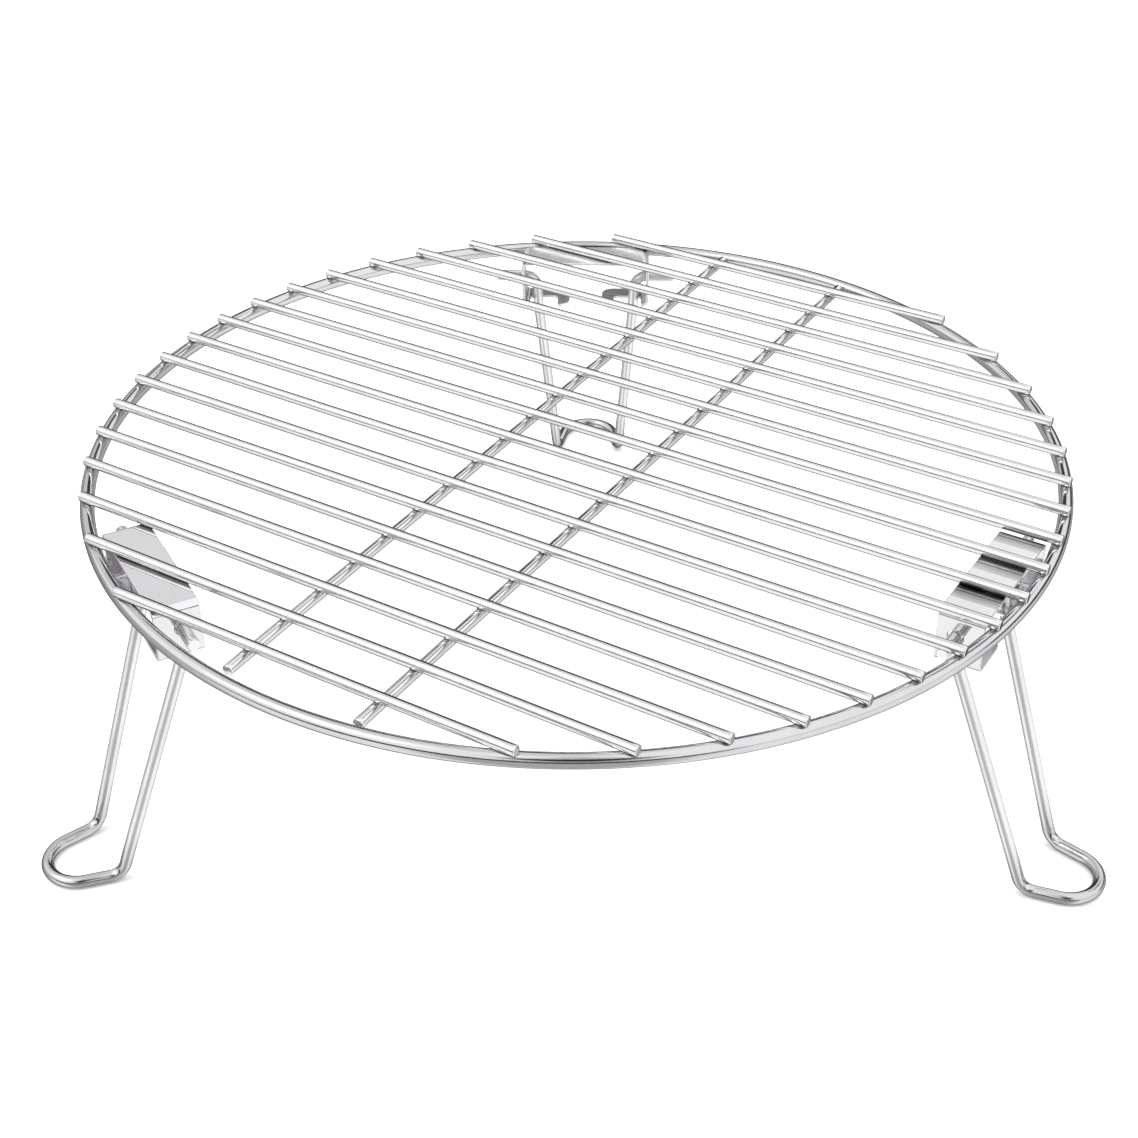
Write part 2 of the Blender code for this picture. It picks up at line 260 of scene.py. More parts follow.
# --- Mesh helpers ---------------------------------------------------------------------------------
def add_piece(
        name, vertices, faces, material, body, slot, wire_map, edge=None, heat=None, normals=None,
        polish_and_shade=None):
    """A smooth mesh with its wire map, wear, weld tint, polish and painted shade, which rides on a body; the
    slot argument is not used.
    """
    mesh = bpy.data.meshes.new(name)
    mesh.from_pydata([tuple(v) for v in vertices], [], faces)
    bm = bmesh.new()
    bm.from_mesh(mesh)
    bmesh.ops.recalc_face_normals(bm, faces=bm.faces)
    bm.to_mesh(mesh)
    bm.free()
    mesh.materials.append(material)
    mesh.shade_smooth()
    layer = mesh.uv_layers.new(name="wire")
    corners = np.zeros(len(mesh.loops), np.int32)
    mesh.loops.foreach_get("vertex_index", corners)
    layer.data.foreach_set("uv", np.asarray(wire_map, np.float32)[corners].ravel())
    for key, values in (("edge", edge), ("heat", heat), ("polish_and_shade", polish_and_shade)):
        data = np.zeros(len(mesh.vertices), np.float32) if values is None else np.asarray(values, np.float32)
        mesh.attributes.new(key, "FLOAT", "POINT").data.foreach_set("value", data)
    if normals is not None:
        mesh.normals_split_custom_set_from_vertices([tuple(n) for n in normals])
    obj = bpy.data.objects.new(name, mesh)
    bpy.context.scene.collection.objects.link(obj)
    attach(obj, body)
    return obj


def tint_and_shade_at(vertices, spots, full=0.0034, none=0.0050):
    """How strongly each vertex is darkened round the welds at those spots, as weld tint and painted contact
    shade: 1 within full, 0 beyond none.
    """
    points = np.asarray(vertices, float)
    away = np.linalg.norm(points[:, None, :] - np.asarray(spots, float)[None, :, :], axis=2).min(1)
    return np.clip((none - away) / (none - full), 0.0, 1.0)


def unit(v):
    """The vectors along the last axis, each of length 1."""
    return v / np.linalg.norm(v, axis=-1, keepdims=True)


def cut_profile(radius):
    """Size, depth from the cut face and wear of each ring from the middle of a cut end to the full wire."""
    rings = [(0.55 * (radius - CUT_EDGE), 0.00004, 0.25), (radius - CUT_EDGE, 0.0, 0.9)]
    for turn in (30, 60, 90):
        a = math.radians(turn)
        rings.append((radius - CUT_EDGE * (1 - math.sin(a)), CUT_EDGE * (1 - math.cos(a)), 0.9 - turn / 110))
    return rings


def swept_wire(path, radius, sides=WIRE_SIDES, closed=False, first_up=(0, 0, 1)):
    """A round wire along a path, with rounded cut ends: its vertices, faces, wire map and edge weights."""
    path = np.asarray(path, float)
    direction = np.roll(path, -1, 0) - np.roll(path, 1, 0) if closed else np.gradient(path, axis=0)
    direction = unit(direction)
    along = np.concatenate([[0.0], np.cumsum(np.linalg.norm(np.diff(path, axis=0), axis=1))])
    angle = 2 * math.pi * (np.arange(sides) + 0.5) / sides
    up = np.asarray(first_up, float)
    rings, lengths, edges = [], [], []

    def add_ring(centre, ahead, size, length, edge):
        side = np.cross(ahead, up)
        rings.append(centre + size * (np.cos(angle)[:, None] * up + np.sin(angle)[:, None] * side))
        lengths.append(length)
        edges.append(edge)

    for index, (point, ahead, length) in enumerate(zip(path, direction, along)):
        up = unit(up - (up @ ahead) * ahead)
        if not closed and index == 0:
            for size, depth, edge in cut_profile(radius):
                add_ring(point + ahead * depth, ahead, size, length, edge)
        elif not closed and index == len(path) - 1:
            for size, depth, edge in reversed(cut_profile(radius)):
                add_ring(point - ahead * depth, ahead, size, length, edge)
        else:
            add_ring(point, ahead, radius, length, 0.0)

    total = len(rings)
    vertices = np.concatenate(rings)
    faces = []
    for i in range(total if closed else total - 1):
        a, b = i * sides, ((i + 1) % total) * sides
        faces += [(a + k, a + (k + 1) % sides, b + (k + 1) % sides, b + k) for k in range(sides)]
    around = np.arange(sides) / sides * 2 * math.pi * radius
    wire_map = np.stack([np.repeat(lengths, sides), np.tile(around, total)], 1)
    edge = np.repeat(edges, sides)
    if not closed:
        ends, last = len(vertices), (total - 1) * sides
        vertices = np.concatenate([vertices, [rings[0].mean(0), rings[-1].mean(0)]])
        wire_map = np.concatenate([wire_map, [[0.0, 0.0], [along[-1], 0.0]]])
        edge = np.concatenate([edge, [0.1, 0.1]])
        faces += [(ends, (k + 1) % sides, k) for k in range(sides)]
        faces += [(ends + 1, last + k, last + (k + 1) % sides) for k in range(sides)]
    return vertices, faces, wire_map, edge


def joined(parts):
    """Several (vertices, faces, wire map, edge) tuples as one."""
    vertices, faces, maps, edges, start = [], [], [], [], 0
    for part_vertices, part_faces, part_map, part_edge in parts:
        vertices.append(part_vertices)
        faces += [tuple(start + k for k in face) for face in part_faces]
        maps.append(part_map)
        edges.append(part_edge)
        start += len(part_vertices)
    return np.concatenate(vertices), faces, np.concatenate(maps), np.concatenate(edges)


# --- Straight wires and where they cross ----------------------------------------------------------
def grid_bar_line(index):
    """Where a grid bar starts and ends along X, and its Y."""
    low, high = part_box(f"grid_bar_{index:02d}")
    return low.x, high.x, (low.y + high.y) / 2


def cross_bar_line(side):
    """The two end points of a cross bar's centreline."""
    low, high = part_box(f"cross_bar_{side}")
    middle = (low + high) / 2
    skew = math.radians(CROSS_BARS[side])
    half = ((high.y - low.y) / 2 - CROSS_WIRE * FACET * math.sin(skew)) / math.cos(skew)
    ahead = Vector((-math.sin(skew), math.cos(skew), 0))
    centre = Vector((middle.x, middle.y, CROSS_Z))
    return centre - ahead * half, centre + ahead * half


GRID_LINES = {index: grid_bar_line(index) for index in range(1, 19)}
CROSS_LINES = {side: cross_bar_line(side) for side in CROSS_BARS}


def weld_loop(place, first, first_radius, first_z, second, second_radius, second_z, limits):
    """The line where two wires that are pressed into each other meet, seen from above as a small oval."""
    depth = first_z - second_z
    points = []
    for k in range(28):
        a = 2 * math.pi * k / 28
        ahead = np.array((math.cos(a), math.sin(a)))
        from_first = abs(ahead[0] * first[1] - ahead[1] * first[0])
        from_second = abs(ahead[0] * second[1] - ahead[1] * second[0])
        low, high = 0.0, min(first_radius / max(from_first, 0.1), second_radius / max(from_second, 0.1))
        for _ in range(30):
            middle = (low + high) / 2
            reach = math.sqrt(max(first_radius ** 2 - (middle * from_first) ** 2, 0))
            reach += math.sqrt(max(second_radius ** 2 - (middle * from_second) ** 2, 0))
            low, high = (middle, high) if reach > depth else (low, middle)
        out = low * 0.97
        z = second_z + math.sqrt(max(second_radius ** 2 - (out * from_second) ** 2, 0))
        points.append((place[0] + out * ahead[0], place[1] + out * ahead[1], z))
    points = np.array(points)
    points[:, 0] = np.clip(points[:, 0], *limits)
    return points


def bead(points, size, seed, sides=10):
    """A closed bead of weld metal along a loop, uneven in thickness."""
    vertices, faces, wire_map, edge = swept_wire(points, size, sides, closed=True)
    centres = np.repeat(points, sides, axis=0)
    swell = []
    for v in vertices:
        p = Vector(v) * 900 + Vector((seed * 7.3, seed * 3.1, 0))
        swell.append(1 + 0.45 * noise.noise(p) + 0.25 * noise.noise(p * 2.7))
    return centres + (vertices - centres) * np.array(swell)[:, None], faces, wire_map, edge


def crossing_welds():
    """Weld beads for every crossing, and the points that the weld tint and its painted contact shade spread
    from.
    """
    beads, spots = [], []
    seed = 0
    for index, (low, high, y) in GRID_LINES.items():
        limits = (low + 0.0011, high - 0.0011)
        for side, (start, end) in CROSS_LINES.items():
            share = (y - start.y) / (end.y - start.y)
            if not 0.002 < share < 0.998:
                continue
            place = start.lerp(end, share)
            ahead = (end - start).normalized()
            loop = weld_loop(
                (place.x, y), (1, 0), GRID_WIRE, GRID_Z, (ahead.x, ahead.y), CROSS_WIRE, CROSS_Z, limits)
            seed += 1
            beads.append(bead(loop, CROSS_BEAD, seed))
            spots.append((place.x, y, CROSS_Z + CROSS_WIRE))
        for sign in (-1, 1):
            reach = math.sqrt(HOOP_RADIUS ** 2 - (y - CENTRE.y) ** 2)
            place = (CENTRE.x + sign * reach, y)
            tangent = (-(y - CENTRE.y) / HOOP_RADIUS, sign * reach / HOOP_RADIUS)
            loop = weld_loop(place, (1, 0), GRID_WIRE, GRID_Z, tangent, HOOP_WIRE, CENTRE.z, limits)
            seed += 1
            beads.append(bead(loop, HOOP_BEAD, seed))
            spots.append((*place, HOOP_TOP))
    for side, ends in CROSS_LINES.items():
        for end in ends:
            out = end - CENTRE
            out.z = 0
            out.normalize()
            along = Vector((-out.y, out.x, 0))
            middle = CENTRE + out * (HOOP_RADIUS - HOOP_WIRE * 0.93)
            middle.z = CENTRE.z + 0.0002
            loop = [
                middle + along * (0.0013 * math.cos(a)) + Vector((0, 0, 0.0008 * math.sin(a)))
                for a in np.linspace(0, 2 * math.pi, 20, endpoint=False)]
            seed += 1
            beads.append(bead(np.array(loop), END_BEAD, seed))
            spots.append(tuple(middle))
    return beads, spots


# --- Brackets -------------------------------------------------------------------------------------
HINGE = HINGES["leg_right"]              # bracket and leg are made about it, and turned to each station
BRACKET_INNER = BRACKET_LOW.x - HINGE.x
BRACKET_OUTER = BRACKET_HIGH.x - HINGE.x
BRACKET_TOP = BRACKET_HIGH.z - HINGE.z
BRACKET_BOTTOM = BRACKET_LOW.z - HINGE.z
BRACKET_HALF = (BRACKET_HIGH.y - BRACKET_LOW.y) / 2
MIDDLE_BEND = BEND_RADIUS - SHEET / 2
WEB_FLAT = BRACKET_HALF - BEND_RADIUS
BEND_LENGTH = MIDDLE_BEND * math.pi / 2
EAR_START = WEB_FLAT + BEND_LENGTH
EAR_END = EAR_START + BRACKET_TOP - BRACKET_BOTTOM - 2 * BEND_RADIUS
LIP_START = EAR_END + BEND_LENGTH
LIP_END = LIP_START + WEB_FLAT - LIP_TIP


def folded(s, x, off=0.0):
    """Where a point of the flat blank goes in the folded sheet, and the directions out of and along it."""
    sign, s = (1 if s >= 0 else -1), abs(s)
    if s <= WEB_FLAT:
        y, z, turn = s, BRACKET_TOP - SHEET / 2, 0.0
    elif s <= EAR_START:
        turn = (s - WEB_FLAT) / MIDDLE_BEND
        y = WEB_FLAT + MIDDLE_BEND * math.sin(turn)
        z = BRACKET_TOP - BEND_RADIUS + MIDDLE_BEND * math.cos(turn)
    elif s <= EAR_END:
        y, z, turn = BRACKET_HALF - SHEET / 2, BRACKET_TOP - BEND_RADIUS - (s - EAR_START), math.pi / 2
    elif s <= LIP_START:
        turn = math.pi / 2 + (s - EAR_END) / MIDDLE_BEND
        y = WEB_FLAT + MIDDLE_BEND * math.sin(turn)
        z = BRACKET_BOTTOM + BEND_RADIUS + MIDDLE_BEND * math.cos(turn)
    else:
        y, z, turn = WEB_FLAT - (s - LIP_START), BRACKET_BOTTOM + SHEET / 2, math.pi
    out = np.array((0.0, sign * math.sin(turn), math.cos(turn)))
    along = np.array((0.0, math.cos(turn), -sign * math.sin(turn)))
    return np.array((x, sign * y, z)) + off * out, out, along


def rounded_outline(corners):
    """A closed polyline through (s, x, radius) corners, each rounded by its radius."""
    points = []
    for i, (s, x, radius) in enumerate(corners):
        here = np.array((s, x))
        back = unit(np.array(corners[i - 1][:2]) - here)
        ahead = unit(np.array(corners[(i + 1) % len(corners)][:2]) - here)
        half = math.acos(np.clip(back @ ahead, -1, 1)) / 2
        centre = here + unit(back + ahead) * radius / math.sin(half)
        start = here + back * radius / math.tan(half) - centre
        turn = back[0] * ahead[1] - back[1] * ahead[0]
        sweep = (math.pi - 2 * half) * (-1 if turn > 0 else 1)
        steps = max(3, math.ceil(abs(sweep) * 6))
        for k in range(steps + 1):
            a = sweep * k / steps
            points.append(centre + np.array((
                start[0] * math.cos(a) - start[1] * math.sin(a),
                start[0] * math.sin(a) + start[1] * math.cos(a))))
    return points


def bracket_blank():
    """The flat blank's outline and holes, as loops of (s, x) with outward directions, and its fold lines."""
    tiny = 0.0003
    notch_low = LIP_START + WEB_FLAT - NOTCH_OUTSIDE
    notch_high = LIP_START + WEB_FLAT - NOTCH_INSIDE
    half = [
        (notch_low, BRACKET_INNER, tiny), (notch_low, NOTCH_END, LEG_WIRE),
        (notch_high, NOTCH_END, LEG_WIRE), (notch_high, BRACKET_INNER, tiny),
        (LIP_END, BRACKET_INNER, LIP_CORNER), (LIP_END, BRACKET_OUTER, LIP_CORNER)]
    corners = half + [(-s, x, r) for s, x, r in reversed(half)]
    outline = rounded_outline(corners)

    lines = []
    for first, last in ((WEB_FLAT, EAR_START), (EAR_END, LIP_START - tiny)):
        lines += list(np.linspace(first, last, 9))
    lines += [EAR_START + 0.001, EAR_END - 0.001, WEB_FLAT - 0.001]
    lines = sorted(lines + [-s for s in lines])
    dense = []
    for i, p in enumerate(outline):
        q = outline[(i + 1) % len(outline)]
        dense.append(p)
        if abs(p[1] - q[1]) < 1e-7:
            between = [s for s in lines if min(p[0], q[0]) + 1e-6 < s < max(p[0], q[0]) - 1e-6]
            dense += [np.array((s, p[1])) for s in (between if q[0] > p[0] else between[::-1])]
    loops = [np.array(dense)]
    hole_s = EAR_START + BRACKET_TOP - BEND_RADIUS
    for sign in (-1, 1):
        a = np.linspace(0, -2 * math.pi, 40, endpoint=False)
        loops.append(np.stack([sign * hole_s + HOLE_RADIUS * np.cos(a), HOLE_RADIUS * np.sin(a)], 1))

    directed = []
    for number, loop in enumerate(loops):
        ahead = unit(np.roll(loop, -1, 0) - loop)
        smooth = unit(ahead + np.roll(ahead, 1, 0))
        normal = np.stack([smooth[:, 1], -smooth[:, 0]], 1)
        area = np.sum(loop[:, 0] * np.roll(loop[:, 1], -1) - np.roll(loop[:, 0], -1) * loop[:, 1])
        outward = normal if (area > 0) == (number == 0) else -normal
        directed.append((loop, outward))
    return directed, lines


def inside(point, loop):
    """Whether a point lies inside a closed loop."""
    crossings = 0
    for a, b in zip(loop, np.roll(loop, -1, 0)):
        if (a[1] > point[1]) != (b[1] > point[1]):
            crossings += point[0] < a[0] + (point[1] - a[1]) / (b[1] - a[1]) * (b[0] - a[0])
    return crossings % 2 == 1


def band(first, second):
    """The faces between two closed rings of vertex numbers."""
    total = len(first)
    return [
        (first[k], first[(k + 1) % total], second[(k + 1) % total], second[k]) for k in range(total)]


def bracket_parts():
    """Vertices, faces, wire map, edge weights and normals of the folded sheet, about the hinge point."""
    loops, lines = bracket_blank()
    flat, links, ranges = [], [], []
    for loop, outward in loops:
        first = len(flat)
        flat += [Vector(p - SHEET_EDGE * n) for p, n in zip(loop, outward)]
        links += [(first + k, first + (k + 1) % len(loop)) for k in range(len(loop))]
        ranges.append((first, len(loop)))
    border = ranges[0][1]
    for s in lines:
        on_line = [k for k in range(border) if abs(flat[k].x - s) < 1e-7]
        if len(on_line) == 2:
            links.append(tuple(on_line))
    points, _, triangles, source, _, _ = geometry.delaunay_2d_cdt(flat, links, [], 0, 1e-9)
    original = [min(found) for found in source]
    outer = np.array([tuple(p) for p in flat[:border]])
    kept = []
    for triangle in triangles:
        middle = sum((points[k] for k in triangle), Vector((0, 0))) / 3
        in_hole = any(
            inside(middle, np.array([tuple(p) for p in flat[first:first + count]]))
            for first, count in ranges[1:])
        if inside(middle, outer) and not in_hole:
            kept.append(tuple(original[k] for k in triangle))

    vertices, normals, wire_map, edge, faces = [], [], [], [], []
    total = len(flat)
    for off in (SHEET / 2, -SHEET / 2):
        for p in flat:
            place, out, _ = folded(p.x, p.y, off)
            vertices.append(place)
            normals.append(out if off > 0 else -out)
            wire_map.append((p.x, p.y))
            edge.append(0.0)
    faces += kept + [tuple(total + k for k in reversed(t)) for t in kept]
    for (loop, outward), (first, count) in zip(loops, ranges):
        previous = [first + k for k in range(count)]
        for face_side in (1, -1):
            for turn in ((30, 60, 90) if face_side == 1 else (90, 60, 30)):
                a = math.radians(turn)
                ring = []
                for p, n in zip(loop, outward):
                    inset = SHEET_EDGE * (1 - math.sin(a))
                    off = face_side * (SHEET / 2 - SHEET_EDGE * (1 - math.cos(a)))
                    q = p - inset * n
                    place, out, along = folded(q[0], q[1], off)
                    sideways = n[0] * along + n[1] * np.array((1.0, 0, 0))
                    ring.append(len(vertices))
                    vertices.append(place)
                    normals.append(unit(math.sin(a) * sideways + face_side * math.cos(a) * out))
                    wire_map.append((q[0], q[1]))
                    edge.append(1.0)
                faces += band(previous, ring)
                previous = ring
        faces += band(previous, [total + first + k for k in range(count)])
    return np.array(vertices), faces, np.array(wire_map), np.array(edge), np.array(normals)


# --- Legs -----------------------------------------------------------------------------------------
def arc_points(centre, start, end, normal, sweep):
    """Points on an arc about a centre, from its start to its end."""
    steps = max(3, math.ceil(abs(sweep) / math.radians(6)))
    arm = start - centre
    return [centre + Matrix.Rotation(sweep * i / steps, 3, normal) @ arm for i in range(steps)] + [end]


def rounded_corner(before, corner, after, radius):
    """Points on the arc that rounds a corner between two straight runs."""
    back = (before - corner).normalized()
    ahead = (after - corner).normalized()
    half = back.angle(ahead) / 2
    start = corner + back * (radius / math.tan(half))
    end = corner + ahead * (radius / math.tan(half))
    centre = corner + (back + ahead).normalized() * (radius / math.sin(half))
    return arc_points(centre, start, end, (-back).cross(ahead).normalized(), math.pi - 2 * half)


def leg_path():
    """The leg's centreline from one stub's end to the other, about the hinge point."""
    foot_z = LEG_LOW.z + LEG_WIRE - HINGE.z + FOOT_LIFT
    reach = LEG_HIGH.x - LEG_WIRE - HINGE.x - FOOT_INSET
    stub_tip = (LEG_HIGH.y - LEG_LOW.y) / 2
    ankle = Vector((ANKLE_OUT, ANKLE_HALF_WIDTH, foot_z))
    elbow = Vector((0, ELBOW_HALF_WIDTH, 0))
    stub = Vector((0, stub_tip, 0))
    toe_centre = Vector((reach - FOOT_RADIUS, 0, foot_z))
    from_toe = ankle - toe_centre
    tangent = math.atan2(from_toe.y, from_toe.x) - math.acos(FOOT_RADIUS / from_toe.length)
    toe_start = toe_centre + Vector((FOOT_RADIUS, 0, 0))
    toe_end = toe_centre + FOOT_RADIUS * Vector((math.cos(tangent), math.sin(tangent), 0))
    half = arc_points(toe_centre, toe_start, toe_end, Vector((0, 0, 1)), tangent)
    half += rounded_corner(toe_end, ankle, KNEE, ANKLE_BEND)
    half += rounded_corner(ankle, KNEE, elbow, KNEE_BEND)
    half += rounded_corner(KNEE, elbow, stub, ELBOW_RADIUS)
    half += [stub]
    whole = [Vector((p.x, -p.y, p.z)) for p in half[:0:-1]] + half
    dense = []
    for p, q in zip(whole, whole[1:]):
        steps = max(1, math.ceil((q - p).length / LEG_STEP))
        dense += [p.lerp(q, k / steps) for k in range(steps)]
    return np.array([tuple(p) for p in dense + [whole[-1]]])


def leg_parts():
    """The leg's mesh, with the press marks that the bending tool leaves inside the ankles."""
    vertices, faces, wire_map, edge = swept_wire(leg_path(), LEG_WIRE, first_up=(1, 0, 0))
    foot_z = LEG_LOW.z + LEG_WIRE - HINGE.z
    dented = vertices.copy()
    for side in (-1, 1):
        mark = np.array((ANKLE_OUT + 0.0012, side * (ANKLE_HALF_WIDTH - 0.0005), foot_z + 0.0012))
        press = np.array((0.72, 0.0, 0.69))
        away = vertices - mark
        depth = away @ press
        across = np.linalg.norm(away - depth[:, None] * press, axis=1)
        push = 0.00045 * np.exp(-(across / 0.0022) ** 2) * (depth > 0)
        dented -= push[:, None] * press
        edge = np.maximum(edge, np.exp(-(across / 0.002) ** 2) * (depth > 0) * 0.5)
    return dented, faces, wire_map, edge


def placed(points, hinge, spin):
    """Points about the hinge point of one station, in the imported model's frame."""
    return np.asarray(points) @ spin.T + np.array(hinge)


# --- The grill ------------------------------------------------------------------------------------
BAR_MAP_STEP = 0.37                      # shifts in the wire map, so that no two wires have the same marks
CROSS_MAP_START = 9.1
# how strongly the beads take the weld tint and painted contact shade
BEAD_TINT_AND_SHADE = 0.6
POLISH_AND_SHADE_LEVEL = 0.006                     # the foot is polished, painted darker and given painted dark outlines up to here, and all fade over the next length
POLISH_AND_SHADE_FADE = 0.016
STUB_DARKENING = 0.75                         # the stubs are darkened with the near-black tint from this far beyond the elbow, fading in
STUB_DARKENING_FROM = 0.004
STUB_DARKENING_FADE = 0.006

beads, weld_spots = crossing_welds()

hoop_angles = np.linspace(0, 2 * math.pi, HOOP_STEPS, endpoint=False)
hoop_path = np.stack([
    CENTRE.x + HOOP_RADIUS * np.cos(hoop_angles), CENTRE.y + HOOP_RADIUS * np.sin(hoop_angles),
    np.full(HOOP_STEPS, CENTRE.z)], 1)
made = swept_wire(hoop_path, HOOP_WIRE, HOOP_SIDES, closed=True)
hoop = add_piece(
    "hoop_ring", *made[:2], HOOP_STEEL, "grate", "grate_wire", made[2], made[3],
    tint_and_shade_at(made[0], weld_spots))
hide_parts("hoop")

for index, (low, high, y) in GRID_LINES.items():
    steps = 2 + int((high - low) / BAR_STEP)
    xs = np.linspace(low, high, steps)
    bow = BAR_BOW * np.sin((xs - low) / (high - low) * math.pi * (1 + index % 3) + index)
    path = np.stack([xs, y + bow, np.full(steps, GRID_Z)], 1)
    made = swept_wire(path, GRID_WIRE)
    rod = add_piece(
        f"grid_rod_{index:02d}", *made[:2], GRATE_STEEL, "grate", "grate_wire",
        made[2] + index * BAR_MAP_STEP, made[3], tint_and_shade_at(made[0], weld_spots, 0.0010, 0.0034))
    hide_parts(f"grid_bar_{index:02d}")

for side, (start, end) in CROSS_LINES.items():
    path = [tuple(start.lerp(end, k / CROSS_STEPS)) for k in range(CROSS_STEPS + 1)]
    made = swept_wire(path, CROSS_WIRE)
    rod = add_piece(
        f"cross_rod_{side}", *made[:2], GRATE_STEEL, "grate", "grate_wire", made[2] + CROSS_MAP_START,
        made[3], tint_and_shade_at(made[0], weld_spots))
    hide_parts(f"cross_bar_{side}")

made = joined(beads)
add_piece(
    "spot_welds", *made[:2], WELD_STEEL, "grate", "grate_wire", made[2], made[3],
    np.full(len(made[0]), BEAD_TINT_AND_SHADE))

bracket = bracket_parts()
leg = leg_parts()
for side in ("right", "back", "left"):
    # the back bracket takes the painted-light copy of the sheet
    sheet = BACK_SHEET_LIT_COPY if side == "back" else SHEET_STEEL
    hinge = HINGES[f"leg_{side}"]
    turn = math.atan2(hinge.y - CENTRE.y, hinge.x - CENTRE.x)
    spin = np.array(Matrix.Rotation(turn, 3, "Z"))
    vertices = placed(bracket[0], hinge, spin)
    piece = add_piece(
        f"bracket_channel_{side}", vertices, bracket[1], sheet, "grate", "bracket_sheet", bracket[2],
        bracket[3], normals=bracket[4] @ spin.T)
    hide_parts(f"bracket_{side}")
    vertices = placed(leg[0], hinge, spin)
    # the foot's polish and its painted shade: 1 low down, fading out higher up
    polish_and_shade = 1 - np.clip((vertices[:, 2] - POLISH_AND_SHADE_LEVEL) / POLISH_AND_SHADE_FADE, 0, 1)
    beyond = np.abs(leg[0][:, 1]) - ELBOW_HALF_WIDTH - STUB_DARKENING_FROM
    stub_tint = STUB_DARKENING * np.clip(beyond / STUB_DARKENING_FADE, 0, 1)
    piece = add_piece(
        f"leg_loop_{side}", vertices, leg[1], LEG_STEEL, f"leg_{side}", "leg_wire", leg[2] + turn, leg[3],
        stub_tint, polish_and_shade=polish_and_shade)
    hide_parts(f"leg_{side}")

# --- Studio ---------------------------------------------------------------------------------------
FLOOR_HALF = 6.0
FLOOR_Z = -0.0002
DOME_RADIUS = 5.9
DOME_SIDES = 48
DOME_RINGS = 12

floor_mesh = bpy.data.meshes.new("floor")
corners = [(FLOOR_HALF * x, FLOOR_HALF * y, FLOOR_Z) for x, y in ((-1, -1), (1, -1), (1, 1), (-1, 1))]
floor_mesh.from_pydata(corners, [], [(0, 1, 2, 3)])
floor_material = bpy.data.materials.new("pale_floor")
floor_material.use_nodes = True
floor_shader = floor_material.node_tree.nodes["Principled BSDF"]
floor_shader.inputs["Base Color"].default_value = (0.93, 0.93, 0.93, 1.0)
floor_shader.inputs["Roughness"].default_value = 0.9
floor_shader.inputs["Specular IOR Level"].default_value = 0.0
floor_mesh.materials.append(floor_material)
floor = bpy.data.objects.new("floor", floor_mesh)
bpy.context.scene.collection.objects.link(floor)
floor.visible_glossy = False             # the studio's own lower half is what the metal mirrors

dome_vertices = [(0.0, 0.0, DOME_RADIUS)]
dome_faces = [(0, 1 + k, 1 + (k + 1) % DOME_SIDES) for k in range(DOME_SIDES)]
for ring in range(1, DOME_RINGS + 1):
    tilt = ring * math.pi / (2 * DOME_RINGS)
    for k in range(DOME_SIDES):
        turn = 2 * math.pi * k / DOME_SIDES
        dome_vertices.append((
            DOME_RADIUS * math.sin(tilt) * math.cos(turn), DOME_RADIUS * math.sin(tilt) * math.sin(turn),
            DOME_RADIUS * math.cos(tilt)))
    if ring > 1:
        last = 1 + DOME_SIDES * (ring - 2)
        upper = [last + k for k in range(DOME_SIDES)]
        lower = [last + DOME_SIDES + k for k in range(DOME_SIDES)]
        dome_faces += band(lower, upper)
dome_mesh = bpy.data.meshes.new("backdrop")
dome_mesh.from_pydata(dome_vertices, [], dome_faces)
dome_material = bpy.data.materials.new("backdrop_white")
dome_material.use_nodes = True
dome_shader = dome_material.node_tree.nodes["Principled BSDF"]
dome_shader.inputs["Base Color"].default_value = (0.0, 0.0, 0.0, 1.0)
dome_shader.inputs["Emission Color"].default_value = (1.0, 1.0, 1.0, 1.0)
dome_shader.inputs["Emission Strength"].default_value = 1.0
dome_mesh.materials.append(dome_material)
dome = bpy.data.objects.new("backdrop", dome_mesh)
bpy.context.scene.collection.objects.link(dome)
dome.visible_diffuse = False             # it only closes the view: it lights and shadows nothing
dome.visible_glossy = False
dome.visible_shadow = False

LENS_SIDE = Vector((0.8457, 0.5337, 0.0))        # level, square to the camera's heading
DARK_PATCH = Vector((0.40, -0.63, 0.667))        # where the photographer stands
BACK_PATCH = Vector((0.171, 0.686, 0.707))       # a dark flag above the back of the set
world = bpy.data.worlds.new("studio")
bpy.context.scene.world = world
world.use_nodes = True
sky_nodes, sky_links = world.node_tree.nodes, world.node_tree.links
sky = sky_nodes["Background"]


def sky_vector(operation, first, second=None):
    """A vector node between a socket and a constant vector."""
    made = sky_nodes.new("ShaderNodeVectorMath")
    made.operation = operation
    sky_links.new(first, made.inputs[0])
    if second is not None:
        made.inputs[1].default_value = tuple(second)
    return made.outputs["Value" if operation == "DOT_PRODUCT" else "Vector"]


def sky_math(operation, first, second=None):
    """A math node between two sockets."""
    made = sky_nodes.new("ShaderNodeMath")
    made.operation = operation
    sky_links.new(first, made.inputs[0])
    if second is not None:
        sky_links.new(second, made.inputs[1])
    return made.outputs[0]


def sky_range(source, low, high, to_low, to_high):
    """A smooth step from one value to another."""
    made = sky_nodes.new("ShaderNodeMapRange")
    made.interpolation_type = "SMOOTHSTEP"
    sky_links.new(source, made.inputs["Value"])
    for key, value in (("From Min", low), ("From Max", high), ("To Min", to_low), ("To Max", to_high)):
        made.inputs[key].default_value = value
    return made.outputs["Result"]


def toward(direction, axis, low, high, to_low, to_high):
    """A smooth step as a direction turns towards an axis, from one cosine to another."""
    return sky_range(sky_vector("DOT_PRODUCT", direction, axis), low, high, to_low, to_high)


